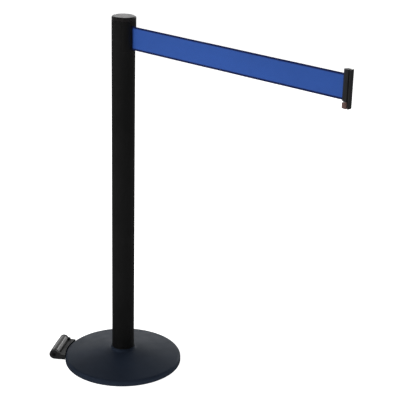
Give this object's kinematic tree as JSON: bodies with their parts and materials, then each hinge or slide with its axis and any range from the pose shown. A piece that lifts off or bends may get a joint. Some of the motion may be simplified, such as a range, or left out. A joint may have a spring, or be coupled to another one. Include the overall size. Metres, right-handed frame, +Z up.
{
  "type": "retractable belt stanchion",
  "caption": "Free-standing crowd-control post: weighted round base with a tilt roller, tubular post, and a sprung spool of webbing that pulls out to a latching tongue.",
  "frame": {"origin": "centre of the floor pad's underside, on the floor, on the post's axis", "axes": "+Z up the post, +X the way the belt pulls out, +Y to the left of the belt"},
  "size_m": [0.9424, 0.337, 1.016],
  "materials": {
    "navy_black_paint": "satin",
    "satin_black_tube": "satin",
    "black_plastic": "satin",
    "dark_brown_plastic": "semi-gloss",
    "black_rubber": "matte",
    "roller_nylon": "semi-gloss",
    "cast_iron": "rough cast",
    "zinc_steel": "zinc plated",
    "spring_steel": "blued",
    "bronze": "sintered",
    "white_acetal": "satin",
    "grey_felt": "felt",
    "blue_webbing": "woven"
  },
  "bodies": {
    "post_and_base": {"floor_pad": "black_rubber", "base_weight": "cast_iron", "base_cover": "navy_black_paint", "tie_bolt": "zinc_steel", "tie_bolt_washer": "zinc_steel", "foot_plug": "zinc_steel", "roller_bracket": "black_plastic", "bracket_screw_left": "zinc_steel", "bracket_screw_right": "zinc_steel", "roller_axle": "zinc_steel", "roller_axle_clip": "spring_steel", "post_tube": "satin_black_tube", "top_cap": "black_plastic", "belt_bezel": "black_plastic", "cassette_body": "black_plastic", "cassette_top_plate": "black_plastic", "spring_divider": "black_plastic", "spring_cup": "black_plastic", "cassette_screw_side": "zinc_steel", "cassette_screw_back": "zinc_steel", "spool_spindle": "zinc_steel", "spindle_clip": "spring_steel", "retraction_brake_ring": "grey_felt", "power_spring": "spring_steel", "belt_guide_pin_left": "zinc_steel", "belt_guide_pin_right": "zinc_steel", "belt_inner_run": "blue_webbing"},
    "belt_end": {"belt": "blue_webbing", "end_shell_front": "black_plastic", "end_shell_rear": "black_plastic", "end_tongue": "black_plastic", "end_screw_upper": "zinc_steel", "end_screw_lower": "zinc_steel", "lever_pin": "zinc_steel", "lever_spring": "spring_steel"},
    "release_lever": {"release_lever": "dark_brown_plastic"},
    "spool": {"spool": "white_acetal", "spool_bush_upper": "bronze", "spool_bush_lower": "bronze", "spring_arbor": "zinc_steel", "belt_roll": "blue_webbing"},
    "roller": {"roller": "roller_nylon", "roller_bush_near": "white_acetal", "roller_bush_far": "white_acetal"}
  },
  "joints": [
    {"name": "belt_pull", "type": "slide", "parent": "post_and_base", "child": "belt_end", "axis": [1, 0, 0], "range_m": [-0.678, 1.604], "deforming": ["belt"]},
    {"name": "spool_spin", "type": "hinge", "parent": "post_and_base", "child": "spool", "pos_m": [0, 0, 0.96085], "axis": [0, 0, 1], "range_deg": [-2265, 5355], "deforming": ["power_spring"]},
    {"name": "roller_spin", "type": "hinge", "parent": "post_and_base", "child": "roller", "pos_m": [-0.16715, -0.10043, 0.016], "axis": [0.515, -0.8572, 0], "continuous": true},
    {"name": "lever_press", "type": "hinge", "parent": "belt_end", "child": "release_lever", "pos_m": [0.72755, 0, 0.922], "axis": [0, 1, 0], "range_deg": [0, 9], "stiffness_Nm_per_rad": 0.02, "springref_deg": -11.46, "deforming": ["lever_spring"]}
  ],
  "couplings": [
    {"joint": "spool_spin", "follows": "belt_pull", "rad_per_m": 58.2}
  ]
}
